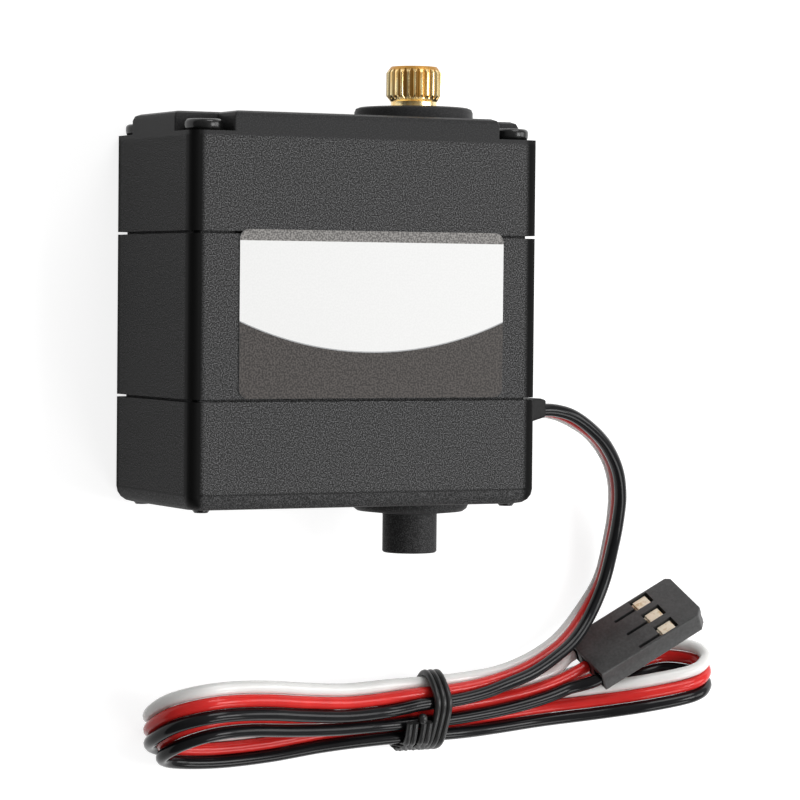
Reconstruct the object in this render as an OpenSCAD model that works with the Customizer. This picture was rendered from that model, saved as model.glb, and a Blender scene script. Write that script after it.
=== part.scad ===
// Standard-size rotary servo motor, lying on its back with its folded lead beside it.
// The servo is drawn standing, with z along its output shaft and the label facing -y,
// and lay_down() then puts it on its back. The lead is drawn where it lies. Millimetres.

/* [Case] */
// Length of the case
case_length = 40; // [39.9:0.1:40.6]
// Width of the case, from the label to the back
case_width = 20; // [19.9:0.1:20.6]
// Height of the case, up to its raised platform
case_height = 40.6; // [40.5:0.05:40.8]
// Radius of the upright corners
case_corner = 0.9; // [0.6:0.1:1.2]
// Thickness of the walls
case_wall = 1.5; // [1.4:0.05:1.5]
// Height of the seam between the bottom and middle case
lower_seam = 11.15; // [11.05:0.05:11.3]
// Height of the seam between the middle and top case
upper_seam = 28.24; // [28.2:0.02:28.3]
// Width of the groove along each seam
seam_gap = 0.28; // [0.2:0.02:0.3]
// Depth of the groove along each seam
seam_depth = 0.75; // [0.4:0.05:0.8]

/* [Case screws] */
// Diameter of the pan heads
screw_head_d = 4; // [3.6:0.1:4.2]
// Height of the pan heads
screw_head_height = 1.2; // [1:0.05:1.6]
// Diameter of the screw shanks
screw_d = 2; // [1.8:0.1:2]

/* [Output] */
// Distance of the output shaft from the middle of the case
output_x = 10.2; // [10:0.1:10.3]
// Overall length from the rear boss to the tip of the spline
overall_length = 52; // [51.8:0.1:52.4]
// Diameter of the flange around the output shaft
output_flange_d = 12.7; // [12.5:0.1:13.2]
// Outside diameter of the spline
spline_d = 5.92; // [5.86:0.02:5.96]
// Number of spline teeth
spline_teeth = 25; // [24:1:25]
// Tapping diameter of the horn screw hole
horn_screw_d = 2.5; // [2.5:0.05:2.6]
// Depth of the horn screw hole
horn_screw_depth = 8; // [6:0.5:8]

/* [Rear boss] */
// Diameter of the rear flange
rear_flange_d = 12.5; // [12:0.1:13]
// Diameter of the rear boss
rear_boss_d = 5.85; // [5.6:0.05:6]
// Distance from the case to the end of the rear boss
rear_boss_length = 5.6; // [5.4:0.1:5.8]

/* [Gears] */
// Play between meshing teeth
backlash = 0.06; // [0.05:0.01:0.08]
// Radial clearance of everything that turns in a hole
running_clearance = 0.03; // [0.02:0.01:0.05]

/* [Lead] */
// Diameter of one of the three wires
wire_d = 1.4; // [1.3:0.05:1.4]
// Length of the plug
plug_length = 14; // [13.5:0.1:14.2]
// Width of the plug, across its three contacts
plug_width = 7.3; // [7.2:0.1:7.8]
// Thickness of the plug
plug_thickness = 2.6; // [2.5:0.05:2.65]

/* [Hidden] */

$fn = 48;

// Colours
plastic = "#2a2b2d";
steel = "#b9bcc0";
brass = "#c8993a";
copper = "#b8653a";
white_pvc = "#e8e6e2";
red_pvc = "#c9302c";
black_pvc = "#1d1d1f";

// Heights in the case, from the underside of the bottom case
floor_top = 1.5;
bottom_edge = 1.56;
lower_rim = lower_seam - seam_gap / 2;
upper_rim = upper_seam + seam_gap / 2;
deck_top = upper_seam - seam_gap / 2;
deck_bottom = deck_top - 1.2;
notch_floor = case_height - 2.1;
cavity_top = notch_floor - 1.1;
dome_top = case_height - 1.6;
flange_top = case_height + 1.4;
shaft_top = overall_length - rear_boss_length;
rear_flange_height = 1.4;

// Outlines in the case
inner_length = case_length - 2 * case_wall;
inner_width = case_width - 2 * case_wall;
platform_length = 30.6;
hump_width = 11.3;
top_rounding = 0.65;
post_x = case_length / 2 - 2.3;
post_y = case_width / 2 - 2.3;
post_d = 3.8;

// Gear train: [module, teeth], each pinion drives the wheel named after it
motor_pinion_gear = [0.3, 10];
first_wheel = [0.3, 42];
first_pinion = [0.35, 10];
second_wheel = [0.35, 34];
second_pinion = [0.35, 10];
third_wheel = [0.35, 34];
third_pinion = [0.5, 11];
output_wheel = [0.5, 31];
pressure_angle = 20;
profile_shift = 0.3;
tip_relief = 0.02;

function pitch_radius(gear) = gear[0] * gear[1] / 2;
function pitch_angle(gear) = 360 / gear[1];
function axis_beside(axis, distance, y) = [axis[0] - sqrt(pow(distance, 2) - pow(y - axis[1], 2)), y];
function direction(from, to) = atan2(to[1] - from[1], to[0] - from[0]);

output_axis = [output_x, 0];
long_axis = axis_beside(output_axis, pitch_radius(third_pinion) + pitch_radius(output_wheel), 0.3);
short_axis = axis_beside(long_axis, pitch_radius(first_pinion) + pitch_radius(second_wheel), -1.2);
motor_axis = axis_beside(long_axis, pitch_radius(motor_pinion_gear) + pitch_radius(first_wheel), 0);

// Angle of a tooth of the second gear that meshes with the first at the given direction
function meshed(first, first_angle, second, towards) =
    towards + 180 - pitch_angle(second) * (0.5 - (towards - first_angle) / pitch_angle(first));

first_angle = meshed(motor_pinion_gear, 0, first_wheel, direction(motor_axis, long_axis));
second_angle = meshed(first_pinion, 0, second_wheel, direction(long_axis, short_axis));
third_angle = meshed(second_pinion, 0, third_wheel, direction(short_axis, long_axis));
output_angle = meshed(third_pinion, 0, output_wheel, direction(long_axis, output_axis));

// Heights of the gears
first_wheel_z = deck_top + 0.8;
first_pinion_z = first_wheel_z + 1.4;
first_top = first_pinion_z + 2;
second_wheel_z = first_wheel_z + 1.9;
second_pinion_z = second_wheel_z + 1.4;
second_top = second_pinion_z + 2.1;
third_wheel_z = second_wheel_z + 1.9;
third_pinion_z = third_wheel_z + 1.4;
third_top = third_pinion_z + 3;
output_wheel_z = third_pinion_z + 0.5;
output_wheel_top = output_wheel_z + 2.4;
gear_pin_d = 1.5;

// Output shaft and its bearing
journal_d = 5;
bush_d = 7;
shaft_d = 6;
collar_d = 6.8;
neck_d = 4.9;
neck_top = case_height + 2.06;
bearing_d = 10;
bearing_height = 3;
bearing_z = case_height - 2;
bearing_top = bearing_z + bearing_height;
ball_d = 1.2;
ball_count = 9;
ball_circle = 4;
feedback_shaft_d = 3;
key_play = 0.04;
feedback_shaft_top = deck_top + 0.9;

// Motor
motor_d = 20.1;
motor_flats = 15.1;
motor_wall = 0.6;
motor_top = deck_bottom;
motor_bottom = 5.9;
can_bottom = 7.4;
can_top_wall = 0.8;
motor_boss_d = 6;
motor_shaft_d = 1.5;
motor_shaft_top = deck_top + 2.15;
motor_pinion_z = deck_top + 0.4;
motor_screw_y = 5;
motor_screw_d = 2;
stack_bottom = 12;
stack_top = 23;
terminal_y = 6.3;

// Feedback potentiometer
feedback_size = 11;
feedback_bottom = deck_bottom - 5.5;
feedback_top = deck_bottom - 0.5;
feedback_pin_y = 4.4;
feedback_pins = [-2.5, 0, 2.5];

// Circuit board
board_bottom = 3;
board_top = 4;
board_length = 30.4;
board_width = 15.8;
standoff_x = 12;
standoff_y = 6.5;

// Grommet, through a slot in the top edge of the bottom case's end wall
grommet_tip_x = case_length / 2 + 5.7;
grommet_top = lower_rim - 0.11;
slot_bottom = 7.4;
slot_width = 6;
inner_lead_x = 14.6;
inner_lead_z = 9.5;

// The servo on its back: the label faces up, the shaft points along +y
centre_to_front = shaft_top - overall_length / 2;

// Lead, in the frame of the finished part. A point is [x, y, z, turn], where turn is the
// angle of the ribbon's width above the level, 90 where the ribbon stands on edge.
lead_width = 3 * wire_d;
exit_route = [
    [25.7, -10.8, 10, 90], [27.2, -11, 10, 90], [29.3, -11.8, 9.8, 95], [31.8, -13.2, 9.1, 98],
    [34.5, -14.8, 8.1, 102], [37.1, -17.2, 6.8, 108], [38.8, -20, 5.4, 113], [39.4, -23, 4.2, 117],
    [39.4, -26.3, 3.2, 114], [38.5, -30.4, 2.8, 106], [36.2, -34, 3.1, 97], [33.2, -36.9, 4.1, 87],
    [30.3, -38.6, 4.6, 81], [27.5, -39.9, 4.8, 75], [24.5, -40.8, 4.9, 68], [21.2, -41.5, 4.9, 55],
    [17.7, -41.9, 4.9, 44], [15.3, -42, 4.9, 42]];
plug_route = [
    [22, -43.5, 4.1, 151], [25, -43.1, 4.2, 143], [28, -42.6, 4.3, 137], [30.5, -42, 4.4, 132],
    [33, -41.2, 4.4, 128], [35.7, -40, 4.4, 125]];
ring_step = 3;

// Folded lead: two loops that stand on edge, tied where they meet
tie_x = 15.3;
tie_length = 4.4;
tie_thickness = 0.4;
waist_low = tie_thickness + 0.02;
waist_high = 6.2;
table_gap = 0.05;
left_end = -18.5;
left_height = 11.4;
left_sag = [9, 6.2];
left_front = -39.7;
left_back = -48.8;
right_end = 51.4;
right_height = 8.6;
right_sag = [37.5, 3.4];
right_front = -44.2;
right_back = -48.7;
right_turn = 9.5;

// Plug, propped against the right-hand loop
plug_place = [41, -35.4, 6.1];
plug_turn = [-62, -9, 30.3];
contact_pitch = 2.54;
window_length = 2.5;
slot_length = 3.7;
window_end = 3.2;

module lay_down() {
    translate([0, -centre_to_front, case_width / 2]) rotate([-90, 0, 0]) children();
}

module rounded_rectangle(length, width, radius) {
    square([length, width - 2 * radius], center = true);
    square([length - 2 * radius, width], center = true);
    for (sx = [-1, 1], sy = [-1, 1])
        translate([sx * (length / 2 - radius), sy * (width / 2 - radius)]) circle(radius, $fn = 32);
}

module case_outline(inset = 0, radius = case_corner) {
    rounded_rectangle(case_length - 2 * inset, case_width - 2 * inset, radius);
}

// A prism of the child outline between two heights
module slab(bottom, top) {
    translate([0, 0, bottom]) linear_extrude(top - bottom) children();
}

module disc(diameter, bottom, top, centre = [0, 0]) {
    translate([centre[0], centre[1], bottom]) cylinder(d = diameter, h = top - bottom);
}

module box(length, width, bottom, top, centre = [0, 0]) {
    translate([centre[0] - length / 2, centre[1] - width / 2, bottom])
        cube([length, width, top - bottom]);
}

module at_posts() {
    for (sx = [-1, 1], sy = [-1, 1]) translate([sx * post_x, sy * post_y, 0]) children();
}

module screw_holes(bottom, top) {
    at_posts() disc(screw_d + 0.1, bottom, top);
}

// A raised block with its upper edges rounded off
module rounded_block(length, width) {
    inset = top_rounding * 0.3;
    corner = 0.2;
    leaf = 0.01;
    hull() {
        slab(notch_floor - 0.5, case_height - top_rounding)
            rounded_rectangle(length, width, corner);
        slab(case_height - inset - leaf, case_height - inset)
            rounded_rectangle(length - 2 * inset, width - 2 * inset, corner);
        slab(case_height - leaf, case_height)
            rounded_rectangle(length - 2 * top_rounding, width - 2 * top_rounding, corner);
    }
}

module output_flange() {
    rounding = 0.5;
    shoulder = 0.3 * rounding;
    disc(output_flange_d, case_height - 0.5, flange_top - rounding, output_axis);
    translate([output_x, 0, flange_top - rounding])
        cylinder(d1 = output_flange_d, d2 = output_flange_d - 2 * shoulder, h = rounding - shoulder);
    translate([output_x, 0, flange_top - shoulder])
        cylinder(d1 = output_flange_d - 2 * shoulder, d2 = output_flange_d - 2 * rounding, h = shoulder);
}

module top_case() {
    pin_hole_d = gear_pin_d;
    boss_d = 4;
    shaft_hole_d = 7;
    color(plastic) difference() {
        union() {
            difference() {
                union() {
                    slab(upper_rim, notch_floor) case_outline();
                    rounded_block(platform_length, case_width);
                    rounded_block(case_length, hump_width);
                }
                box(inner_length, inner_width, upper_rim - 1, cavity_top);
                box(28, inner_width - 0.2, cavity_top - 0.5, dome_top);
            }
            at_posts() disc(post_d, upper_rim, notch_floor);
            disc(bearing_d + 2.8, bearing_z, dome_top + 0.2, output_axis);
            disc(boss_d, third_top + 0.3, dome_top + 0.2, long_axis);
            disc(boss_d - 0.4, second_top + 0.3, dome_top + 0.2, short_axis);
            output_flange();
        }
        screw_holes(upper_rim - 1, notch_floor + 1);
        disc(bearing_d, bearing_z - 1, bearing_top, output_axis);
        disc(shaft_hole_d, bearing_top - 0.5, flange_top + 1, output_axis);
        disc(pin_hole_d, third_top, dome_top - 0.1, long_axis);
        disc(pin_hole_d, second_top, dome_top - 1, short_axis);
    }
}

// Low ribs that centre the top case on the middle case, left open at the corner posts
module locating_ribs() {
    rib = 0.7;
    play = 0.05;
    open_corner = 2.2;
    for (side = [-1, 1]) {
        box(2 * (post_x - open_corner), rib, deck_top - 0.2, deck_top + 0.8,
            [0, side * (inner_width / 2 - play - rib / 2)]);
        box(rib, 2 * (post_y - open_corner), deck_top - 0.2, deck_top + 0.8,
            [side * (inner_length / 2 - play - rib / 2), 0]);
    }
}

module middle_case() {
    color(plastic) difference() {
        union() {
            difference() {
                union() {
                    slab(lower_rim + seam_gap, deck_top) case_outline();
                    slab(lower_rim, upper_rim) case_outline(seam_depth);
                }
                box(inner_length, inner_width, lower_rim - 1, deck_bottom);
                box(inner_length, inner_width, deck_top, upper_rim + 1);
            }
            at_posts() disc(post_d - 0.9, lower_rim, upper_rim);
            locating_ribs();
        }
        screw_holes(lower_rim - 1, upper_rim + 1);
        disc(bush_d, deck_bottom - 1, deck_top + 1, output_axis);
        disc(motor_boss_d, deck_bottom - 1, deck_top + 1, motor_axis);
        disc(gear_pin_d, deck_bottom + 0.3, deck_top + 1, long_axis);
        for (side = [-1, 1])
            disc(motor_screw_d + 0.1, deck_bottom - 1, deck_top + 1,
                 motor_axis + [0, side * motor_screw_y]);
    }
}

module rear_boss() {
    ridge = 0.15;
    underside = [[rear_flange_d / 2, -0.45], [rear_flange_d / 2 - 0.15, -0.8],
                 [rear_flange_d / 2 - 0.55, 0.3 - rear_flange_height], [rear_boss_d / 2, -rear_flange_height]];
    disc(rear_flange_d, underside[0][1], floor_top / 2, output_axis);
    for (k = [1:3])
        translate([output_x, 0, underside[k][1]])
            cylinder(r1 = underside[k][0], r2 = underside[k - 1][0], h = underside[k - 1][1] - underside[k][1]);
    disc(rear_boss_d, ridge - rear_boss_length, 0, output_axis);
    translate([output_x, 0, -rear_boss_length])
        cylinder(d1 = rear_boss_d - 2 * ridge, d2 = rear_boss_d, h = ridge);
}

module bottom_case() {
    pilot_depth = 5;
    bottom_inset = 1;
    leaf = 0.01;
    color(plastic) difference() {
        union() {
            difference() {
                union() {
                    slab(bottom_edge, lower_rim) case_outline();
                    hull() for (t = [0:22.5:90])
                        translate([0, 0, bottom_edge * (1 - sin(t))]) linear_extrude(leaf)
                            case_outline(bottom_inset * (1 - cos(t)), case_corner + bottom_inset * (1 - cos(t)));
                }
                box(inner_length, inner_width, floor_top, lower_rim + 1);
            }
            at_posts() disc(post_d, floor_top - 0.3, lower_rim);
            for (sx = [-1, 1], sy = [-1, 1])
                disc(1.8, floor_top - 0.3, board_bottom, [sx * standoff_x, sy * standoff_y]);
            rear_boss();
        }
        screw_holes(-1, lower_rim + 1);
        disc(horn_screw_d, -rear_boss_length - 1, pilot_depth - rear_boss_length, output_axis);
        box(2 * case_wall, slot_width, slot_bottom, lower_rim + 1, [case_length / 2, 0]);
    }
}

module case_screws() {
    tip = 0.3;
    crown = 0.25;
    recess_depth = 0.7;
    head_top = notch_floor + screw_head_height;
    color("#17181a") at_posts() difference() {
        union() {
            disc(screw_d, -tip, notch_floor + 0.1);
            disc(screw_head_d, notch_floor, head_top - crown);
            translate([0, 0, head_top - crown])
                cylinder(d1 = screw_head_d, d2 = screw_head_d - 2 * crown, h = crown);
        }
        box(2.2, 0.5, head_top - recess_depth, head_top + 1);
        box(0.5, 2.2, head_top - recess_depth, head_top + 1);
    }
}

module label() {
    label_left = -14.65;
    label_right = 15.8;
    label_bottom = lower_seam + 0.2;
    label_top = upper_seam + 0.36;
    thickness = 0.12;
    color("#d9d9d9")
        translate([(label_left + label_right) / 2, -case_width / 2, (label_bottom + label_top) / 2])
        rotate([90, 0, 0]) linear_extrude(thickness)
        rounded_rectangle(label_right - label_left, label_top - label_bottom, 1);
}

// Involute teeth. shift moves the teeth outwards, in modules.
function involute(base, radius) =
    let (t = sqrt(max(0, pow(radius / base, 2) - 1))) t * 180 / PI - atan(t);
function half_tooth(gear, shift, radius) =
    let (pitch = pitch_radius(gear),
         base = pitch * cos(pressure_angle),
         width = gear[0] * (PI / 2 + 2 * shift * tan(pressure_angle)) - backlash)
    width / 2 / pitch * 180 / PI + involute(base, pitch) - involute(base, max(radius, base));
function flank(gear, shift) =
    let (pitch = pitch_radius(gear),
         root = pitch - (1.25 - shift) * gear[0],
         tip = pitch + (1 + shift) * gear[0] - tip_relief,
         start = max(root, pitch * cos(pressure_angle)),
         rise = (tip - start) / 3)
    concat(start > root ? [root] : [], [for (i = [0:3]) start + i * rise]);
function tooth_outline(gear, shift) =
    let (radii = flank(gear, shift), last = len(radii) - 1)
    [for (i = [0:2 * last + 1])
        let (radius = radii[i <= last ? i : 2 * last + 1 - i], side = i <= last ? -1 : 1)
        [radius, side * half_tooth(gear, shift, radius)]];
function gear_outline(gear, shift, turn) =
    [for (k = [0:gear[1] - 1], p = tooth_outline(gear, shift))
        let (angle = turn + k * pitch_angle(gear) + p[1])
        p[0] * [cos(angle), sin(angle)]];

module teeth(gear, shift, turn, bottom, top) {
    slab(bottom, top) polygon(gear_outline(gear, shift, turn));
}

// A large wheel with a small pinion above it, turning on a fixed pin
module stepped_gear(axis, wheel, turn, pinion, hub_z, wheel_z, pinion_z, top) {
    hub_d = 3.2;
    translate([axis[0], axis[1], 0]) difference() {
        union() {
            teeth(wheel, -profile_shift, turn, wheel_z, pinion_z);
            teeth(pinion, profile_shift, 0, pinion_z - 0.1, top);
            disc(hub_d, hub_z, wheel_z + 0.1);
        }
        disc(gear_pin_d + 2 * running_clearance, hub_z - 1, top + 1);
    }
}

module first_gear() {
    color(brass)
        stepped_gear(long_axis, first_wheel, first_angle, first_pinion,
                     deck_top + 0.1, first_wheel_z, first_pinion_z, first_top);
}

module second_gear() {
    color(brass)
        stepped_gear(short_axis, second_wheel, second_angle, second_pinion,
                     second_wheel_z - 0.05, second_wheel_z, second_pinion_z, second_top);
}

module third_gear() {
    color(steel)
        stepped_gear(long_axis, third_wheel, third_angle, third_pinion,
                     first_top + 0.1, third_wheel_z, third_pinion_z, third_top);
}

module spline() {
    depth = 0.3;
    lower_chamfer = 0.63;
    upper_chamfer = 0.7;
    edge = 0.5;
    step = 360 / spline_teeth;
    root = spline_d / 2 - depth;
    intersection() {
        slab(neck_top, shaft_top)
            polygon([for (k = [0:spline_teeth - 1], p = [[root, -0.36], [spline_d / 2, -0.14],
                                                         [spline_d / 2, 0.14], [root, 0.36]])
                p[0] * [cos((k + p[1]) * step), sin((k + p[1]) * step)]]);
        union() {
            translate([0, 0, neck_top])
                cylinder(d1 = spline_d - 2 * edge, d2 = spline_d + 0.02, h = lower_chamfer);
            disc(spline_d + 0.02, neck_top + lower_chamfer, shaft_top - upper_chamfer);
            translate([0, 0, shaft_top - upper_chamfer])
                cylinder(d1 = spline_d + 0.02, d2 = spline_d - 2 * edge, h = upper_chamfer);
        }
    }
}

module output_gear() {
    color(brass) translate([output_x, 0, 0]) difference() {
        union() {
            disc(journal_d, deck_bottom + 0.05, deck_top + 0.6);
            disc(shaft_d, deck_top + 0.55, bearing_top);
            teeth(output_wheel, -profile_shift, output_angle, output_wheel_z, output_wheel_top);
            disc(collar_d, output_wheel_top - 0.1, bearing_z);
            disc(neck_d, bearing_top - 0.1, neck_top + 0.1);
            spline();
        }
        disc(horn_screw_d, shaft_top - horn_screw_depth, shaft_top + 1);
        disc(feedback_shaft_d, deck_bottom - 1, feedback_shaft_top);
    }
}

// A bearing ring, with a groove for the balls
module bearing_ring(inner_d, outer_d) {
    translate([output_x, 0, bearing_z]) rotate_extrude() difference() {
        translate([inner_d / 2, 0]) square([(outer_d - inner_d) / 2, bearing_height]);
        translate([ball_circle, bearing_height / 2]) circle(ball_d / 2 + 0.01);
    }
}

module bearing_outer_ring() {
    color(steel) bearing_ring(8.6, bearing_d);
}

module bearing_inner_ring() {
    color(steel) bearing_ring(shaft_d, 7.4);
}

module bearing_balls() {
    color(steel) translate([output_x, 0, bearing_z + bearing_height / 2])
        for (k = [0:ball_count - 1])
            rotate([0, 0, k * 360 / ball_count]) translate([ball_circle, 0, 0])
                sphere(d = ball_d, $fn = 24);
}

module shaft_bush() {
    flange_d = 8.4;
    color("#c9b27a") difference() {
        union() {
            disc(bush_d, deck_bottom, deck_top, output_axis);
            disc(flange_d, deck_top, deck_top + 0.5, output_axis);
        }
        disc(journal_d + 2 * running_clearance, deck_bottom - 1, deck_top + 1, output_axis);
    }
}

module long_gear_pin() {
    color(steel) disc(gear_pin_d, deck_bottom + 0.3, dome_top - 0.1, long_axis);
}

module short_gear_pin() {
    head_d = 2.4;
    color(steel) {
        disc(gear_pin_d, second_wheel_z - 0.4, dome_top - 1, short_axis);
        disc(head_d, second_wheel_z - 0.4, second_wheel_z - 0.1, short_axis);
    }
}

module motor_outline(inset = 0) {
    intersection() {
        circle(d = motor_d - 2 * inset, $fn = 64);
        square([motor_d, motor_flats - 2 * inset], center = true);
    }
}

module at_motor() {
    translate([motor_axis[0], motor_axis[1], 0]) children();
}

module motor_can() {
    bush_hole_d = 3.6;
    color(steel) at_motor() difference() {
        union() {
            slab(can_bottom, motor_top) motor_outline();
            disc(motor_boss_d, motor_top - 0.1, deck_top);
        }
        slab(can_bottom - 1, motor_top - can_top_wall) motor_outline(motor_wall);
        disc(bush_hole_d, motor_top - 2, deck_top + 1);
        for (side = [-1, 1]) disc(motor_screw_d, motor_top - 2, motor_top + 1, [0, side * motor_screw_y]);
    }
}

module motor_end_cap() {
    rear_boss_d = 5.6;
    color("#e3e0d6") at_motor() difference() {
        union() {
            slab(motor_bottom, can_bottom) motor_outline();
            slab(can_bottom - 0.1, can_bottom + 1) motor_outline(motor_wall + 0.02);
            disc(rear_boss_d, motor_bottom - 0.5, motor_bottom + 0.1);
        }
        disc(3.6, motor_bottom - 1, can_bottom + 2);
        slab(can_bottom, can_bottom + 2) motor_outline(1.1);
        for (side = [-1, 1]) box(2, 0.4, motor_bottom - 1, can_bottom + 2, [0, side * terminal_y]);
    }
}

module motor_magnets() {
    inner_d = 13.6;
    magnet_width = 12.4;
    color("#4a4c50") at_motor() for (side = [-1, 1])
        slab(stack_bottom - 0.5, stack_top + 0.5) intersection() {
            difference() {
                circle(d = motor_d - 2 * motor_wall - 0.04, $fn = 64);
                circle(d = inner_d, $fn = 64);
            }
            translate([side * 7, 0]) square([8, magnet_width], center = true);
        }
}

module motor_bushes() {
    color("#b0894a") at_motor() {
        for (ends = [[motor_bottom - 0.5, can_bottom], [motor_top - can_top_wall, deck_top]])
            difference() {
                disc(3.6, ends[0], ends[1]);
                disc(motor_shaft_d + 2 * running_clearance, ends[0] - 1, ends[1] + 1);
            }
    }
}

module motor_brushes() {
    commutator_r = 1.7;
    color(copper) at_motor() for (side = [-1, 1]) {
        box(1.6, 0.3, can_bottom, 10.4, [0, side * (commutator_r + 0.2)]);
        box(1.6, terminal_y - commutator_r - 0.05, can_bottom, can_bottom + 0.3,
            [0, side * (terminal_y + commutator_r + 0.05) / 2]);
    }
}

module motor_terminals() {
    color(brass) at_motor() for (side = [-1, 1])
        box(2, 0.4, board_bottom - 0.6, can_bottom, [0, side * terminal_y]);
}

module motor_screws() {
    head_d = 3;
    color(steel) at_motor() for (side = [-1, 1]) translate([0, side * motor_screw_y, 0]) {
        difference() {
            disc(head_d, deck_top, deck_top + 1);
            box(2, 0.4, deck_top + 0.6, deck_top + 2);
        }
        disc(motor_screw_d, motor_top - 2, deck_top + 0.1);
    }
}

module motor_shaft() {
    color(steel) at_motor() disc(motor_shaft_d, motor_bottom - 0.4, motor_shaft_top);
}

module motor_pinion() {
    color(brass) at_motor() difference() {
        teeth(motor_pinion_gear, profile_shift, 0, motor_pinion_z, motor_shaft_top);
        disc(motor_shaft_d, motor_pinion_z - 1, motor_shaft_top + 1);
    }
}

// One of the armature's three poles: an arm with a curved shoe
module pole() {
    arm_width = 2;
    shoe_angle = 50;
    arc_steps = 6;
    outer = 6.4;
    inner = 5.5;
    translate([0, -arm_width / 2]) square([inner + 0.2, arm_width]);
    polygon(concat(
        [for (i = [0:arc_steps]) let (a = (2 * i / arc_steps - 1) * shoe_angle) outer * [cos(a), sin(a)]],
        [for (i = [0:arc_steps]) let (a = (1 - 2 * i / arc_steps) * shoe_angle) inner * [cos(a), sin(a)]]));
}

module motor_armature() {
    color("#7d8086") at_motor() difference() {
        slab(stack_bottom, stack_top) {
            circle(d = 4);
            for (k = [0:2]) rotate(k * 120) pole();
        }
        disc(motor_shaft_d, stack_bottom - 1, stack_top + 1);
    }
}

module motor_windings() {
    turn_width = 4.4;
    arm_middle = 3.9;
    overhang = 0.8;
    color(copper) at_motor() for (k = [0:2]) rotate([0, 0, k * 120]) difference() {
        box(2, turn_width, stack_bottom - overhang, stack_top + overhang, [arm_middle, 0]);
        box(3, 2, stack_bottom, stack_top, [arm_middle, 0]);
    }
}

module motor_commutator() {
    color(copper) at_motor() difference() {
        disc(3.4, can_bottom + 1.2, stack_bottom);
        disc(motor_shaft_d, can_bottom, stack_bottom + 1);
    }
}

module feedback_body() {
    cavity_d = 8.8;
    bushing_d = 6.8;
    color("#20304a") translate([output_x, 0, 0]) difference() {
        union() {
            box(feedback_size, feedback_size, feedback_bottom, feedback_top);
            disc(bushing_d, feedback_top - 0.1, deck_bottom);
        }
        disc(cavity_d, feedback_bottom + 0.6, feedback_top - 0.8);
        disc(feedback_shaft_d + 2 * running_clearance, feedback_top - 1, deck_bottom + 1);
    }
}

module feedback_rotor() {
    wiper_d = 8;
    wiper_z = feedback_bottom + 1.6;
    color(steel) translate([output_x, 0, 0]) difference() {
        union() {
            disc(feedback_shaft_d - key_play, wiper_z - 0.5, feedback_shaft_top);
            disc(wiper_d, wiper_z, wiper_z + 0.6);
        }
        box(0.6, 4, feedback_shaft_top - 0.8, feedback_shaft_top + 1);
    }
}

module feedback_wires() {
    insulation = [red_pvc, white_pvc, "#d8b23a"];
    for (k = [0:2]) color(insulation[k])
        disc(0.8, board_top, feedback_bottom, output_axis + [feedback_pins[k], feedback_pin_y]);
}

module circuit_board() {
    color("#1f5a36") difference() {
        box(board_length, board_width, board_bottom, board_top);
        for (side = [-1, 1])
            box(2.4, 0.8, board_bottom - 1, board_top + 1, motor_axis + [0, side * terminal_y]);
    }
}

module controller_chip() {
    color("#222327") {
        box(5, 5, board_top, board_top + 1, [5.6, -0.5]);
        for (side = [-1, 1]) box(3.8, 0.6, board_top, board_top + 0.3, [5.6, -0.5 + side * 2.8]);
    }
}

module driver_chips() {
    color("#222327") for (y = [-5, -0.4])
        box(4.6, 3.6, board_top, board_top + 1.4, [11.2, y]);
}

module board_capacitor() {
    color("#31415f") disc(3.6, board_top, board_top + 5.5, [4.8, 5.4]);
}

module inner_leads() {
    insulation = [white_pvc, red_pvc, black_pvc];
    end_x = case_length / 2 - 2.4;
    d = 0.9;
    for (k = [0:2]) color(insulation[k]) translate([0, (k - 1) * wire_d, 0]) {
        disc(d, board_top, inner_lead_z, [inner_lead_x, 0]);
        translate([inner_lead_x, 0, inner_lead_z]) sphere(d = d);
        translate([inner_lead_x, 0, inner_lead_z]) rotate([0, 90, 0])
            cylinder(d = d, h = end_x - inner_lead_x);
    }
}

module wire_grommet() {
    flange = 0.9;
    tip_height = 2.1;
    tip_width = 5;
    leaf = 0.01;
    wall_x = case_length / 2;
    color(black_pvc) {
        box(case_wall, slot_width, slot_bottom, grommet_top, [wall_x - case_wall / 2, 0]);
        box(flange, slot_width + 1.4, slot_bottom - 0.6, grommet_top,
            [wall_x - case_wall - flange / 2, 0]);
        hull() {
            box(leaf, slot_width, slot_bottom, grommet_top, [wall_x + leaf / 2, 0]);
            box(leaf, tip_width, grommet_top - tip_height, grommet_top,
                [grommet_tip_x - 0.8, 0]);
            box(leaf, tip_width - 0.6, grommet_top - tip_height + 0.1, grommet_top - 0.2,
                [grommet_tip_x - leaf / 2, 0]);
        }
    }
}

// Catmull-Rom curve through a route, resampled in steps of about ring_step
function curve(a, b, c, d, t) =
    0.5 * (2 * b + (c - a) * t + (2 * a - 5 * b + 4 * c - d) * t * t
           + (3 * b - a - 3 * c + d) * t * t * t);
function place(p) = [p[0], p[1], p[2]];
function smooth_route(route) = let (last = len(route) - 1) [
    for (i = [0:last - 1])
        let (a = route[max(i - 1, 0)], b = route[i], c = route[i + 1], d = route[min(i + 2, last)],
             steps = max(1, round(norm(place(c) - place(b)) / ring_step)))
        for (k = [0:steps - 1]) curve(a, b, c, d, k / steps),
    route[last]];
function unit(v) = v / norm(v);
function ring(at, ahead, half_width, half_height) =
    let (level = unit(cross([0, 0, 1], ahead)), up = cross(unit(ahead), level),
         across = cos(at[3]) * level + sin(at[3]) * up, through = cross(unit(ahead), across),
         straight = half_width - half_height, slope = half_height * 0.7)
    [for (p = [[half_width, 0], [straight + slope, slope], [straight, half_height], [-straight, half_height],
               [-half_width, 0], [-straight, -half_height], [straight, -half_height],
               [straight + slope, -slope]])
        place(at) + p[0] * across + p[1] * through];

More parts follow.
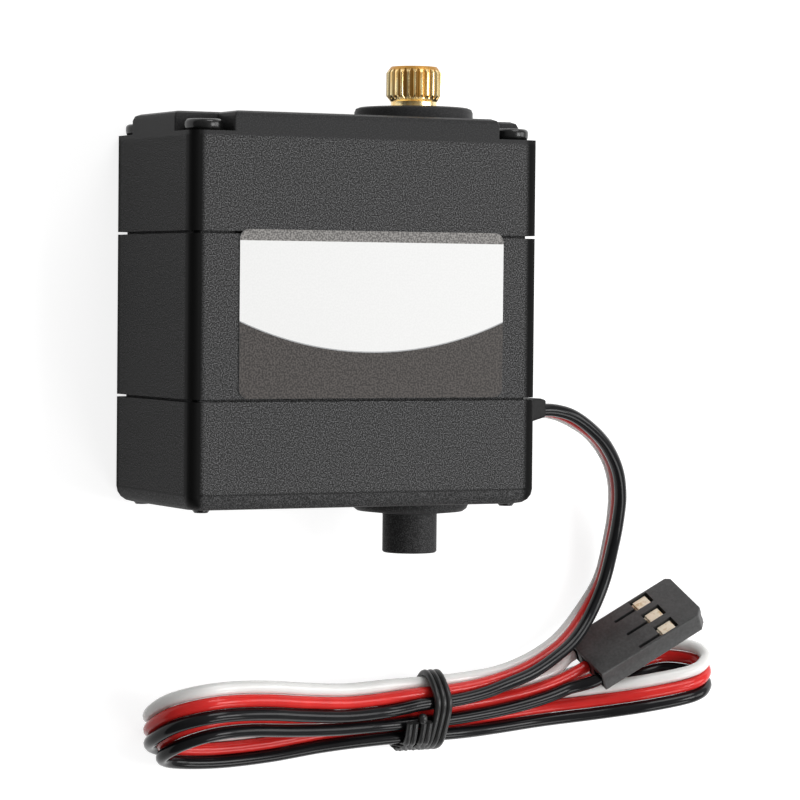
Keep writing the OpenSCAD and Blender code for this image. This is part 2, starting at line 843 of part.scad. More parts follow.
// The three wires of the ribbon, swept along a route as one solid
module ribbon(route, first_ahead, last_ahead) {
    path = smooth_route(route);
    last = len(path) - 1;
    sides = 8;
    rings = [for (i = [0:last])
        ring(path[i],
             i == 0 ? first_ahead : i == last ? last_ahead : place(path[i + 1] - path[i - 1]),
             lead_width / 2, wire_d / 2)];
    polyhedron(
        points = [for (r = rings, p = r) p],
        faces = concat(
            [[for (k = [0:sides - 1]) k]],
            [for (i = [0:last - 1], k = [0:sides - 1])
                let (next = (k + 1) % sides, here = i * sides, there = here + sides)
                for (triangle = [[here + k, there + k, here + next], [here + next, there + k, there + next]])
                    triangle],
            [[for (k = [0:sides - 1]) last * sides + sides - 1 - k]]));
}

module lead_from_case() {
    color(red_pvc) ribbon(exit_route, [1, 0, 0], [-1, 0, 0]);
}

module lead_to_plug() {
    color(red_pvc) ribbon(plug_route, [1, 0.1, 0], plug_axis());
}

function plug_axis() =
    let (pitch = plug_turn[1], yaw = plug_turn[2])
    [cos(pitch) * cos(yaw), cos(pitch) * sin(yaw), -sin(pitch)];

// Outline of a loop seen from the front, from the tie to its rounded end. sag is a low
// point of its top edge.
module loop_outline(end, height, sag) {
    side = end > tie_x ? 1 : -1;
    radius = (height - table_gap) / 2;
    waist = tie_x + side * (tie_length / 2 + 0.5);
    end_x = end - side * radius;
    polygon(concat(
        [[tie_x, waist_high], [tie_x, waist_low], [waist, waist_low], [waist + side * 6, table_gap]],
        [for (a = [-90:15:90]) [end_x + side * radius * cos(a), table_gap + radius * (1 + sin(a))]],
        [sag, [waist, waist_high]]));
}

module lead_hank_left() {
    color(black_pvc) translate([0, left_front, 0]) rotate([90, 0, 0])
        linear_extrude(left_front - left_back) loop_outline(left_end, left_height, left_sag);
}

module lead_hank_right() {
    color(black_pvc) intersection() {
        translate([tie_x, right_front, 0]) rotate([0, 0, right_turn]) translate([-tie_x, 0, 0])
            rotate([90, 0, 0]) linear_extrude(right_front - right_back)
            loop_outline(right_end, right_height, right_sag);
        translate([tie_x, right_back - 10, -1]) cube([60, 30, 20]);
    }
}

module twist_tie() {
    waist_width = left_front - left_back;
    waist_height = waist_high - waist_low;
    color(black_pvc) translate([tie_x, (left_front + left_back) / 2, (waist_low + waist_high) / 2])
        rotate([90, 0, 90]) linear_extrude(tie_length, center = true) difference() {
            rounded_rectangle(waist_width + 2 * tie_thickness, waist_height + 2 * tie_thickness, 0.6);
            square([waist_width, waist_height], center = true);
        }
}

module at_plug() {
    translate(plug_place) rotate(plug_turn) children();
}

// Each contact has a window near the far end of the plug, and a narrow slot behind it
module plug_housing() {
    window_width = 1.7;
    slot_width = 0.6;
    window_x = plug_length / 2 - window_end - window_length / 2;
    slot_x = window_x - (window_length + slot_length) / 2;
    color(black_pvc) at_plug() difference() {
        box(plug_length, plug_width, -plug_thickness, 0);
        for (k = [-1:1]) {
            box(window_length, window_width, -1.9, 1, [window_x, k * contact_pitch]);
            box(slot_length + 0.2, slot_width, -1.2, 1, [slot_x, k * contact_pitch]);
            box(4, 0.9, -1.75, -0.85, [plug_length / 2, k * contact_pitch]);
        }
    }
}

module plug_contacts() {
    latch_length = 1.9;
    latch_x = plug_length / 2 - window_end - window_length / 2 - 0.1;
    color(brass) at_plug() for (k = [-1:1])
        box(latch_length, 1.4, -1.9, -0.35, [latch_x, k * contact_pitch]);
}

lay_down() top_case();
lay_down() middle_case();
lay_down() bottom_case();
lay_down() case_screws();
lay_down() label();
lay_down() output_gear();
lay_down() bearing_outer_ring();
lay_down() bearing_inner_ring();
lay_down() bearing_balls();
lay_down() shaft_bush();
lay_down() first_gear();
lay_down() second_gear();
lay_down() third_gear();
lay_down() long_gear_pin();
lay_down() short_gear_pin();
lay_down() motor_can();
lay_down() motor_end_cap();
lay_down() motor_magnets();
lay_down() motor_bushes();
lay_down() motor_brushes();
lay_down() motor_terminals();
lay_down() motor_screws();
lay_down() motor_shaft();
lay_down() motor_pinion();
lay_down() motor_armature();
lay_down() motor_windings();
lay_down() motor_commutator();
lay_down() feedback_body();
lay_down() feedback_rotor();
lay_down() feedback_wires();
lay_down() circuit_board();
lay_down() controller_chip();
lay_down() driver_chips();
lay_down() board_capacitor();
lay_down() inner_leads();
lay_down() wire_grommet();
lead_from_case();
lead_hank_left();
lead_hank_right();
lead_to_plug();
twist_tie();
plug_housing();
plug_contacts();
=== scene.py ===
# %% [markdown]
# # A servo motor and its folded lead
#
# A servo is a small black box that turns a splined brass shaft to the angle it is told. This one lies on
# its back with its label up, and its flat three-wire lead is folded and tied beside it. The solids of
# the model are already in their places, so this file gives each one its surface, and rebuilds the
# pieces whose look needs more than a plain solid: wires, tie, plug, screws and label.

# %% The frame: every solid in its place, in metres
import math

import bmesh
import bpy
from mathutils import Matrix, Vector


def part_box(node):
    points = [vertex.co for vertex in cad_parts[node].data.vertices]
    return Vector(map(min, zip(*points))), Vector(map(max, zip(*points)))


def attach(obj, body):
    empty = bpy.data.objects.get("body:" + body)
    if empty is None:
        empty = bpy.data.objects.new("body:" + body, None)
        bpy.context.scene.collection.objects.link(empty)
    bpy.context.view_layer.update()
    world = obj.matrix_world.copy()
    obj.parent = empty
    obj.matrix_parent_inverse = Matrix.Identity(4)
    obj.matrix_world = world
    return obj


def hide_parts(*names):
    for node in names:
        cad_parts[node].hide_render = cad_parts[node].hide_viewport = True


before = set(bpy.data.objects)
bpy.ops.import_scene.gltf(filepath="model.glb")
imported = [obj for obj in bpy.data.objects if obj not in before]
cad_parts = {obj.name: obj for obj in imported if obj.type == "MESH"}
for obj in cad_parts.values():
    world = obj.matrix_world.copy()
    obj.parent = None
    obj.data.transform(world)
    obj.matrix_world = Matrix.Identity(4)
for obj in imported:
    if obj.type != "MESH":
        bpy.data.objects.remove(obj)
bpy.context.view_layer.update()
mm = 0.001
scene = bpy.context.scene

# %% [markdown]
# ## The camera
#
# The servo is seen from above and a little to its left, from far enough away that its edges stay
# almost parallel. A camera looks along its own -Z, so its three axes are put together from the line of
# sight and the way that should be up in the picture, and a small roll finishes it.

# %% The camera
camera_spot = Vector((-157.6, 2.4, 334.4)) * mm
camera_aim = Vector((8.9, -9.65, 10)) * mm
camera_roll = math.radians(0.55)

camera = bpy.data.objects.new("camera", bpy.data.cameras.new("camera"))
camera.data.lens = 153.1
camera.data.sensor_width = 36
camera.data.clip_start = 0.01
backwards = (camera_spot - camera_aim).normalized()
rightwards = Vector((0, 1, 0)).cross(backwards).normalized()
upwards = backwards.cross(rightwards)
turned = Matrix((rightwards, upwards, backwards)).transposed().to_4x4() @ Matrix.Rotation(camera_roll, 4, "Z")
camera.matrix_world = Matrix.Translation(camera_spot) @ turned
scene.collection.objects.link(camera)
scene.camera = camera
scene.view_settings.view_transform = "Standard"
print("camera to the servo:", round((camera_spot - camera_aim).length / mm), "mm")

# %% [markdown]
# ## Materials as expressions
#
# A material is a graph of nodes. Written node by node it is hard to read, so `Value` wraps one output
# and gives it the usual signs of arithmetic: `1 - mask` adds the Math node that works it out. `Graph` is
# the tree they are in, and its `node` method adds any other node, with its settings first and its sockets
# next. `Finish` is the graph of one material.


# %% Values, graphs and finishes
class Value:
    """An output in a graph of nodes that arithmetic adds Math nodes to."""

    def __init__(self, graph, socket):
        self.graph = graph
        self.socket = socket

    def worked(self, operation, *terms):
        return self.graph.node("ShaderNodeMath", {"operation": operation}, dict(enumerate(terms)))

    def __add__(self, other):
        return self.worked("ADD", self, other)

    def __sub__(self, other):
        return self.worked("SUBTRACT", self, other)

    def __rsub__(self, other):
        return self.worked("SUBTRACT", other, self)

    def __mul__(self, other):
        return self.worked("MULTIPLY", self, other)

    __radd__ = __add__
    __rmul__ = __mul__

    def __abs__(self):
        return self.worked("ABSOLUTE", self)

    def root(self):
        return self.worked("SQRT", self)

    def or_more(self, other):
        return self.worked("MAXIMUM", self, other)


class Graph:
    """A node tree, emptied, with one method that adds any node to it."""

    def __init__(self, tree):
        self.nodes = tree.nodes
        self.links = tree.links
        self.nodes.clear()

    def feed(self, node, sockets):
        for name, value in sockets.items():
            if isinstance(value, Value):
                self.links.new(value.socket, node.inputs[name])
            else:
                node.inputs[name].default_value = value

    def node(self, kind, settings=None, sockets=None, output=0):
        node = self.nodes.new(kind)
        for name, value in (settings or {}).items():
            if name == "stops":
                self.set_stops(node.color_ramp, value)
            else:
                setattr(node, name, value)
        self.feed(node, sockets or {})
        return Value(self, node.outputs[output])

    def set_stops(self, ramp, stops):
        while len(ramp.elements) < len(stops):
            ramp.elements.new(1)
        for element, (position, colour) in zip(ramp.elements, stops):
            element.position = position
            element.color = colour

    def step(self, value, low, high):
        """0 below low, 1 above high, smooth between."""
        return self.node("ShaderNodeMapRange", {"interpolation_type": "SMOOTHSTEP"},
                         {"Value": value, "From Min": low, "From Max": high})


class Finish(Graph):
    """One material, with a Principled surface."""

    def __init__(self, name, **sockets):
        self.material = bpy.data.materials.new(name)
        self.material.use_nodes = True
        super().__init__(self.material.node_tree)
        self.surface = self.nodes.new("ShaderNodeBsdfPrincipled")
        output = self.nodes.new("ShaderNodeOutputMaterial")
        self.links.new(self.surface.outputs[0], output.inputs["Surface"])
        self.set(**sockets)

    def set(self, **sockets):
        self.feed(self.surface, {name.replace("_", " "): value for name, value in sockets.items()})

    def place(self):
        return self.node("ShaderNodeTexCoord", output="Object")

    def along(self, axis):
        return self.node("ShaderNodeSeparateXYZ", sockets={"Vector": self.place()}, output=axis)

    def noise(self, size, detail=3.0, roughness=0.5, stretch=(1, 1, 1)):
        """Smooth noise from 0 to 1, with features of about that size in metres."""
        spread = self.node("ShaderNodeMapping", sockets={"Vector": self.place(), "Scale": stretch})
        return self.node("ShaderNodeTexNoise", sockets={
            "Vector": spread, "Scale": 1 / size, "Detail": detail, "Roughness": roughness})

    def ramp(self, value, *stops):
        return self.node("ShaderNodeValToRGB", {"stops": stops}, {"Fac": value})

    def mixed(self, share, first, second):
        """The first colour where share is 0, and the second where it is 1."""
        colour_a, colour_b, colour_result = 6, 7, 2
        return self.node("ShaderNodeMix", {"data_type": "RGBA"}, {
            "Factor": share, colour_a: first, colour_b: second}, output=colour_result)

    def bump(self, height, depth, strength=1.0):
        """A normal for a relief of that depth in metres."""
        return self.node("ShaderNodeBump", sockets={
            "Height": height, "Distance": depth, "Strength": strength})


def grey(level, tint=(1, 1, 1)):
    return (level * tint[0], level * tint[1], level * tint[2], 1)


# %% [markdown]
# ## The table and the studio
#
# A small product is shown on white, with wide soft lamps, so that its shadow almost disappears. The
# floor is plain, and what the camera sees of it also glows, which lifts it to white and puts no extra
# light on the servo. Metal and gloss mirror the same white floor. The sky is dim on the left and brighter
# where the lamps are, so that each side of the black case has its own tone.

# %% The floor
floor_half = 10
floor_corners = [(x * floor_half, y * floor_half, 0) for x, y in ((-1, -1), (1, -1), (1, 1), (-1, 1))]
floor_mesh = bpy.data.meshes.new("floor")
floor_mesh.from_pydata(floor_corners, [], [(0, 1, 2, 3)])
floor = bpy.data.objects.new("floor", floor_mesh)
scene.collection.objects.link(floor)


def seen_directly(graph):
    """1 for what the camera, a mirror or a glass sees, and 0 for the light that falls on the object."""
    camera_ray, mirror_ray, glass_ray = (
        graph.node("ShaderNodeLightPath", output=f"Is {kind} Ray")
        for kind in ("Camera", "Glossy", "Transmission"))
    return camera_ray.or_more(mirror_ray).or_more(glass_ray)


floor_glow = 0.82
floor_finish = Finish("white table", Base_Color=grey(0.4), Roughness=0.85, Specular_IOR_Level=0.1,
                      Emission_Strength=1)
floor_finish.set(Emission_Color=seen_directly(floor_finish) * floor_glow)
floor_mesh.materials.append(floor_finish.material)

# %% The sky
sky_dim = 0.17
sky_gain = 0.37
towards_the_lamps = (0.75, 0.55, 0.35)
world = bpy.data.worlds.new("studio")
world.use_nodes = True
scene.world = world
sky = Graph(world.node_tree)
direction = sky.node("ShaderNodeTexCoord", output="Generated")
bright_side = sky.node("ShaderNodeVectorMath", {"operation": "DOT_PRODUCT"},
                       {0: direction, 1: towards_the_lamps}, output="Value")
background = sky.node("ShaderNodeBackground", sockets={
    "Color": grey(1), "Strength": sky.step(bright_side, -0.6, 0.8) * sky_gain + sky_dim})
sky.links.new(background.socket, sky.nodes.new("ShaderNodeOutputWorld").inputs["Surface"])


# %% The lamps
def lamp(name, spot, aim, width, watts):
    light = bpy.data.lights.new(name, "AREA")
    light.size = width
    light.energy = watts
    holder = bpy.data.objects.new(name, light)
    holder.location = spot
    holder.rotation_euler = (Vector(aim) - Vector(spot)).to_track_quat("-Z", "Y").to_euler()
    scene.collection.objects.link(holder)
    print("lamp", name, watts, "W")


object_middle = (0.01, -0.01, 0)
lamp("softbox behind", (0.16, 0.5, 0.36), object_middle, 0.3, 1.35)
lamp("softbox on the right", (0.56, 0.02, 0.38), object_middle, 0.3, 1.1)
lamp("softbox in front", (0.26, -0.46, 0.36), object_middle, 0.24, 0.8)
lamp("softbox overhead", (0.34, -0.02, 0.6), object_middle, 0.24, 1.45)

# %% [markdown]
# ## The lead
#
# The lead is three wires moulded side by side, white, red and black. It leaves the case standing on
# edge, curves down to the table and is folded into two loops before it reaches the plug. Its middle
# is one route of listed points. Each point also says which way the ribbon's width runs there,
# from white to black. The wires are then three curves that follow the same route side by side.

# %% The route of the middle of the ribbon: where it is in millimetres, and how its width runs
wire_d = 1.4 * mm
wire_pitch = 1.42 * mm
on_edge = (0, 0, 1)
leaning = (0, -0.9, 0.5)
nearly_flat = (0, -1, 0.1)
flat = (0, -1, 0.04)

from_case = [
    ((25.7, -10.8, 10), on_edge), ((27.2, -10.95, 10), (0.05, 0.06, 1)), ((29.4, -11.45, 9.8), (0.12, 0, 1)),
    ((32.1, -12.7, 9.1), (0.16, -0.17, 0.97)), ((34.8, -14.45, 8.1), (0.12, -0.34, 0.93)),
    ((37.25, -17.05, 6.8), (-0.03, -0.42, 0.92)), ((38.8, -20, 5.4), (-0.2, -0.42, 0.89)),
    ((39.4, -23, 4.2), (-0.31, -0.3, 0.9)), ((39.4, -26.3, 3.2), (-0.34, -0.1, 0.94)),
    ((38.5, -30.4, 2.8), (-0.3, 0.05, 0.95)), ((36.2, -34, 3.1), (-0.02, 0.08, 1)),
    ((33.3, -36.8, 4), (0.12, -0.02, 1)), ((30.3, -38.6, 4.6), (0.16, -0.12, 1)),
    ((27.5, -39.9, 4.8), (0.15, -0.25, 0.95)),
    ((24.5, -40.8, 4.9), (0.1, -0.35, 0.95)), ((21.2, -41.5, 4.9), (0.1, -0.55, 0.8)),
    ((17.7, -41.9, 4.9), (0.05, -0.7, 0.7)), ((13.8, -42.1, 4.9), (0, -0.75, 0.65)),
]
outer_left_loop = [
    ((9.5, -42.4, 5.3), (0, -1, 0.3)), ((4.5, -42.45, 6.4), (0, -1, 0.2)),
    ((-1, -41.95, 8), nearly_flat), ((-6, -41.35, 9.6), nearly_flat), ((-10.5, -41.1, 10.6), nearly_flat),
    ((-14.2, -41.35, 10.6), nearly_flat), ((-16.9, -42.3, 8.8), nearly_flat),
    ((-17.8, -43.8, 5.9), nearly_flat), ((-16.8, -44.9, 3), nearly_flat),
    ((-14.2, -45.8, 1.2), nearly_flat), ((-10, -46.3, 0.8), flat), ((-4, -46.5, 0.85), flat),
    ((3, -46.2, 1), flat), ((9, -45.9, 1.3), nearly_flat),
]
right_loop = [
    ((15.3, -45.7, 1.6), (0, -1, 0.2)), ((20, -45.5, 1.4), (0, -1, 0.2)), ((26, -44.9, 1), nearly_flat),
    ((33, -43.4, 0.8), flat), ((39, -41.8, 0.8), flat), ((43.5, -40.5, 0.8), flat),
    ((47.5, -39.7, 1), flat), ((50, -39.8, 2.7), flat), ((50.7, -40.3, 4.6), flat),
    ((50, -41.2, 6.6), flat), ((47.5, -42.1, 7.9), flat), ((42.5, -43, 7.1), (0.1, -1, 0.1)),
    ((37, -43.8, 5.3), (0.1, -1, 0.1)), ((30.5, -44.5, 3.6), (0, -1, 0.15)),
    ((24.5, -45.1, 3.2), (0, -1, 0.25)), ((19, -45.5, 3.3), leaning), ((13, -45.6, 3.3), leaning),
]
inner_left_loop = [
    ((8, -45.8, 3), (0, -1, 0.4)), ((3, -46.2, 2.6), (0, -1, 0.25)), ((-3, -46.9, 2.4), nearly_flat),
    ((-8.5, -47.2, 2.3), nearly_flat), ((-13, -47, 2.5), nearly_flat), ((-15.6, -46.4, 3.7), nearly_flat),
    ((-16.4, -45.4, 5.8), nearly_flat), ((-15.3, -44.2, 7.9), nearly_flat), ((-12.4, -43.3, 9), nearly_flat),
    ((-8, -43.15, 8.4), nearly_flat), ((-2, -43.65, 6.8), nearly_flat), ((4, -44, 5.4), (0, -1, 0.3)),
    ((9.5, -44, 4.5), (0, -1, 0.3)),
]
to_plug = [
    ((14, -43.95, 4.2), leaning), ((18, -43.85, 4.1), leaning), ((22, -43.5, 4.1), (0, -0.9, 0.6)),
    ((25, -43.1, 4.2), (0, -0.8, 0.6)), ((28, -42.6, 4.3), (0, -0.75, 0.7)),
    ((30.5, -42, 4.4), (0.1, -0.7, 0.75)), ((33, -41.2, 4.4), (0.15, -0.58, 0.8)),
    ((35.7, -40, 4.4), (0.12, -0.475, 0.87)),
]
route = from_case + outer_left_loop + right_loop + inner_left_loop + to_plug
print("route:", len(route), "points")


# %% One smooth curve through the route
def between(a, b, c, d, t):
    """A point of the Catmull-Rom curve from b to c."""
    square_term = 2 * a - 5 * b + 4 * c - d
    cube_term = 3 * b - a - 3 * c + d
    return 0.5 * (2 * b + (c - a) * t + square_term * t ** 2 + cube_term * t ** 3)


def smooth(points, step):
    """The curve through the points, with a new point about every step."""
    curve = []
    for i in range(len(points) - 1):
        a, b, c, d = (points[max(0, min(len(points) - 1, i + k))] for k in (-1, 0, 1, 2))
        steps = max(1, round((c[0] - b[0]).length / step))
        curve += [[between(p, q, r, s, k / steps) for p, q, r, s in zip(a, b, c, d)] for k in range(steps)]
    return curve + [list(points[-1])]


point_step = 0.4 * mm
ribbon = smooth([(Vector(spot) * mm, Vector(width).normalized()) for spot, width in route], point_step)
lead_length = sum((after[0] - before[0]).length for before, after in zip(ribbon, ribbon[1:]))
print("lead:", round(lead_length / mm), "mm long, drawn with", len(ribbon), "points")

# %% [markdown]
# The three wires keep their distance from the middle by stepping sideways along the ribbon's width,
# after the part of it that runs along the lead is taken out. Just before the plug they part, because
# its contacts are wider apart than the wires. The plastic is glossy, slightly uneven and, where it is pale,
# lets some light through, so that its shaded side isn't dark.


# %% Wire plastics
def wire_finish(name, colour, darker, glow, gloss):
    finish = Finish(name, Roughness=0.15, IOR=1.46, Specular_IOR_Level=gloss,
                    Subsurface_Weight=glow, Subsurface_Radius=(1, 1, 1), Subsurface_Scale=1.1 * mm)
    mottle = finish.noise(3 * mm, detail=2)
    finish.set(Base_Color=finish.ramp(mottle, (0.3, darker), (0.7, colour)))
    finish.set(Normal=finish.bump(finish.noise(1.3 * mm, detail=3), 0.02 * mm, 0.35))
    return finish.material


white_pvc = wire_finish("white wire", (0.84, 0.84, 0.82, 1), (0.79, 0.79, 0.77, 1), 1, 0.5)
red_pvc = wire_finish("red wire", (0.74, 0.03, 0.025, 1), (0.62, 0.022, 0.02, 1), 0.3, 0.3)
black_pvc = wire_finish("black wire", (0.010, 0.010, 0.011, 1), (0.006, 0.006, 0.007, 1), 0, 0.25)

# %% The three wires
lead_nodes = ("lead_from_case", "lead_hank_left", "lead_hank_right", "lead_to_plug")
contact_pitch = 2.54 * mm
parting_length = 4 * mm
wires = []
for name, side, insulation in (("white", -1, white_pvc), ("red", 0, red_pvc), ("black", 1, black_pvc)):
    line = []
    left_to_go = lead_length
    for i, (spot, width) in enumerate(ribbon):
        ahead = (ribbon[min(i + 1, len(ribbon) - 1)][0] - ribbon[max(i - 1, 0)][0]).normalized()
        if i:
            left_to_go -= (spot - ribbon[i - 1][0]).length
        across = (width - width.dot(ahead) * ahead).normalized()
        parted = max(0, 1 - left_to_go / parting_length)
        parted = parted * parted * (3 - 2 * parted)
        line.append(spot + across * side * (wire_pitch + (contact_pitch - wire_pitch) * parted))
    data = bpy.data.curves.new("lead wire " + name, "CURVE")
    data.dimensions = "3D"
    data.bevel_depth = wire_d / 2
    data.bevel_resolution = 4
    data.use_fill_caps = True
    spline = data.splines.new("POLY")
    spline.points.add(len(line) - 1)
    for point, spot in zip(spline.points, line):
        point.co = (*spot, 1)
    spline.use_smooth = True
    data.materials.append(insulation)
    wire = bpy.data.objects.new("lead_wire_" + name, data)
    scene.collection.objects.link(wire)
    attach(wire, "servo_body")
    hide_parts(*lead_nodes)
    wires.append((wire, line))
    print(wire.name, round(sum((q - p).length for p, q in zip(line, line[1:])) / mm), "mm")

# %% [markdown]
# ## Shells from the solids
#
# The moulded pieces already have the right shape, but a real moulding has no razor-sharp edge: a small
# round on every edge catches the light and makes the piece look solid. The solid itself must stay as it
# is, so a copy is welded, cleared of the lines inside its flat faces, and bevelled.


# %% A copy of a solid with rounded edges
def joined_to_scene(name, mesh):
    piece = bpy.data.objects.new(name, mesh)
    scene.collection.objects.link(piece)
    return piece


def piece_from(name, work):
    """A new piece with the mesh that was being worked on."""
    mesh = bpy.data.meshes.new(name)
    work.to_mesh(mesh)
    work.free()
    return joined_to_scene(name, mesh)


def settled(piece):
    """The piece with its modifiers worked out and taken off."""
    graph = bpy.context.evaluated_depsgraph_get()
    mesh = bpy.data.meshes.new_from_object(piece.evaluated_get(graph))
    piece.modifiers.clear()
    piece.data = mesh
    return piece


def smooth_shaded(piece, sharper_than):
    """Shades the piece smoothly, but for the edges that turn by more than the angle in degrees."""
    piece.data.polygons.foreach_set("use_smooth", [True] * len(piece.data.polygons))
    piece.data.set_sharp_from_angle(angle=math.radians(sharper_than))


def rounded(piece, radius, segments=2):
    """Rounds every edge that turns by more than 30 degrees, and shades the piece smoothly."""
    bevel = piece.modifiers.new("rounded edges", "BEVEL")
    bevel.width = radius
    bevel.segments = segments
    bevel.limit_method = "ANGLE"
    bevel.angle_limit = math.radians(30)
    settled(piece)
    smooth_shaded(piece, 50)
    weighted = piece.modifiers.new("flat faces stay flat", "WEIGHTED_NORMAL")
    weighted.keep_sharp = True
    return settled(piece)


def copy_of(node, name, radius, segments=2):
    """A copy of the node's solid, welded, with its edges rounded."""
    same_spot = 0.002 * mm
    same_plane = math.radians(0.4)
    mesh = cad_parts[node].data.copy()
    work = bmesh.new()
    work.from_mesh(mesh)
    bmesh.ops.remove_doubles(work, verts=work.verts, dist=same_spot)
    bmesh.ops.dissolve_limit(work, angle_limit=same_plane, verts=work.verts, edges=work.edges)
    work.to_mesh(mesh)
    work.free()
    mesh.materials.clear()
    piece = rounded(joined_to_scene(name, mesh), radius, segments)
    print(name, len(piece.data.polygons), "faces")
    return piece


def dress(piece, node, finish, body="servo_body"):
    """Gives the piece its finish, and puts it on its body in the place of the solid."""
    piece.data.materials.clear()
    piece.data.materials.append(finish)
    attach(piece, body)
    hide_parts(node)


# %% [markdown]
# ## The case
#
# The case is black nylon out of a spark-eroded mould, which leaves a fine grain all over it: tiny peaks
# on a darker ground. The band round the platform is smoother, and the rounded upright corners are
# smooth too and carry painted shade that darkens them. A thin line of painted shade runs round the foot of
# the case, and the grain is flatter below it. The peaks are noise, in the relief and in the colour, where
# their pale tops are painted highlights for the light that the tiny facets catch.

# %% The case plastic
boss_length = 5.6 * mm
platform_over_screws = 0.9 * mm
case_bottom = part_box("bottom_case")[0].y + boss_length
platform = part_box("case_screws")[1].y + platform_over_screws
case_low, case_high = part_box("middle_case")
case_middle, case_half = (case_high + case_low) / 2, (case_high - case_low) / 2
print("case from", round(case_bottom / mm, 2), "to", round(platform / mm, 2), "mm along the shaft")


def case_finish():
    finish = Finish("black nylon", IOR=1.48, Specular_IOR_Level=0.065)
    height = finish.along("Y")
    band_height = 2.7 * mm
    foot_height = 1.4 * mm
    band = finish.step(height, platform - band_height, platform - band_height + 0.3 * mm)
    on_boss = 1 - finish.step(height, case_bottom - 0.3 * mm, case_bottom - 0.1 * mm)
    foot = 1 - finish.step(height, case_bottom + foot_height, case_bottom + foot_height + 0.4 * mm)
    grained = (1 - 0.85 * band) * (1 - 0.3 * on_boss) * (1 - 0.4 * foot)
    out_along = abs(finish.along("X"))
    out_across = abs(finish.along("Z") - case_middle.z)
    # The rounded upright corners are smooth, and their colour is darkened as painted shade.
    smooth_corner_painted_shade = (finish.step(out_along, case_half.x - 1.7 * mm, case_half.x - 1 * mm)
                * finish.step(out_across, case_half.z - 1.8 * mm, case_half.z - 1 * mm))
    # A thin dark line of painted shade runs round the foot, along the top of its lower band.
    line_low = case_bottom + foot_height
    line_high = line_low + 0.32 * mm
    foot_line_painted_shade = (finish.step(height, line_low, line_low + 0.12 * mm)
                  * (1 - finish.step(height, line_high - 0.12 * mm, line_high)))
    grain = finish.noise(0.125 * mm, detail=1)
    plain = grey(0.031, (1, 1, 1.02))
    # The grain's colour: random tone, with pale tops that are painted highlights for the light the tiny
    # facets catch.
    grain_and_painted_glints = finish.ramp(grain, (0.36, grey(0.02)), (0.5, grey(0.048)), (0.66, grey(0.15, (1, 1, 1.02))))
    surface = finish.mixed(grained, plain, grain_and_painted_glints)
    finish.set(Base_Color=finish.mixed(foot_line_painted_shade * 0.5 + smooth_corner_painted_shade, surface, grey(0.005)))
    finish.set(Roughness=0.4 + grained * 0.2)
    finish.set(Normal=finish.bump(grain * grained * (1 - smooth_corner_painted_shade), 0.05 * mm, 0.7))
    return finish.material


case_nylon = case_finish()

# %% The three shells
case_edge = 0.13 * mm
for shell in ("top_case", "middle_case", "bottom_case"):
    dress(copy_of(shell, "shell_" + shell, case_edge, segments=3), shell, case_nylon)

# %% [markdown]
# ## The case screws
#
# Four long screws hold the three shells together. Only their glossy black heads show, in the notches of the
# top corners: a flat top, a barrelled side and a well rounded rim that catches the light. One screw is
# turned from a profile, a cross is cut into its head, and a small tree of Geometry Nodes puts it at the
# four corners of a rectangle. A grid of two by two points gives those corners once it stands upright.

# %% One screw
screws_low, screws_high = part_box("case_screws")
head_d = 4 * mm
shank_d = 2 * mm
head_height = 1.2 * mm
rim_fillet = 0.42 * mm
head_top = screws_high.y
head_foot = head_top - head_height
screw_tip = screws_low.y


def turned_piece(name, profile, turns=40):
    """Spins a profile of (radius, height along y) points round the y axis."""
    work = bmesh.new()
    rings = []
    for radius, height in profile:
        if radius == 0:
            rings.append([work.verts.new((0, height, 0))])
        else:
            angles = (2 * math.pi * k / turns for k in range(turns))
            rings.append([work.verts.new((radius * math.cos(a), height, radius * math.sin(a)))
                          for a in angles])
    for lower, upper in zip(rings, rings[1:]):
        for k in range(turns):
            corners = [lower[k % len(lower)], lower[(k + 1) % len(lower)],
                       upper[(k + 1) % len(upper)], upper[k % len(upper)]]
            work.faces.new(list(dict.fromkeys(corners)))
    bmesh.ops.recalc_face_normals(work, faces=work.faces)
    return piece_from(name, work)


def block(name, low, high):
    work = bmesh.new()
    bmesh.ops.create_cube(work, size=1)
    low, high = Vector(low), Vector(high)
    for vert in work.verts:
        vert.co = Vector((low[i] + (vert.co[i] + 0.5) * (high[i] - low[i]) for i in range(3)))
    return piece_from(name, work)


def cut(piece, tools):
    """Cuts the tools out of the piece, and removes them."""
    for tool in tools:
        knife = piece.modifiers.new("cut", "BOOLEAN")
        knife.operation = "DIFFERENCE"
        knife.solver = "EXACT"
        knife.object = tool
    settled(piece)
    for tool in tools:
        bpy.data.objects.remove(tool)
    return piece


fillet = [(head_d / 2 - rim_fillet * (1 - math.cos(a)), head_top - rim_fillet * (1 - math.sin(a)))
          for a in (math.radians(k) for k in range(0, 91, 15))]
screw = turned_piece("one screw", [
    (0, screw_tip), (shank_d / 2 - 0.3 * mm, screw_tip), (shank_d / 2, screw_tip + 0.4 * mm),
    (shank_d / 2, head_foot + 0.02 * mm), (head_d / 2 - 0.3 * mm, head_foot),
    (head_d / 2 - 0.12 * mm, head_foot + 0.1 * mm), (head_d / 2 - 0.03 * mm, head_foot + 0.3 * mm),
    (head_d / 2, head_foot + 0.55 * mm)] + fillet + [(0, head_top)])
slot_depth, slot_half, slot_reach = 0.75 * mm, 0.28 * mm, 1.15 * mm
cut(screw, [
    block("slot", (-slot_reach, head_top - slot_depth, -slot_half), (slot_reach, head_top + mm, slot_half)),
    block("slot", (-slot_half, head_top - slot_depth, -slot_reach), (slot_half, head_top + mm, slot_reach))])
print("screw:", round((head_top - screw_tip) / mm, 1), "mm long")


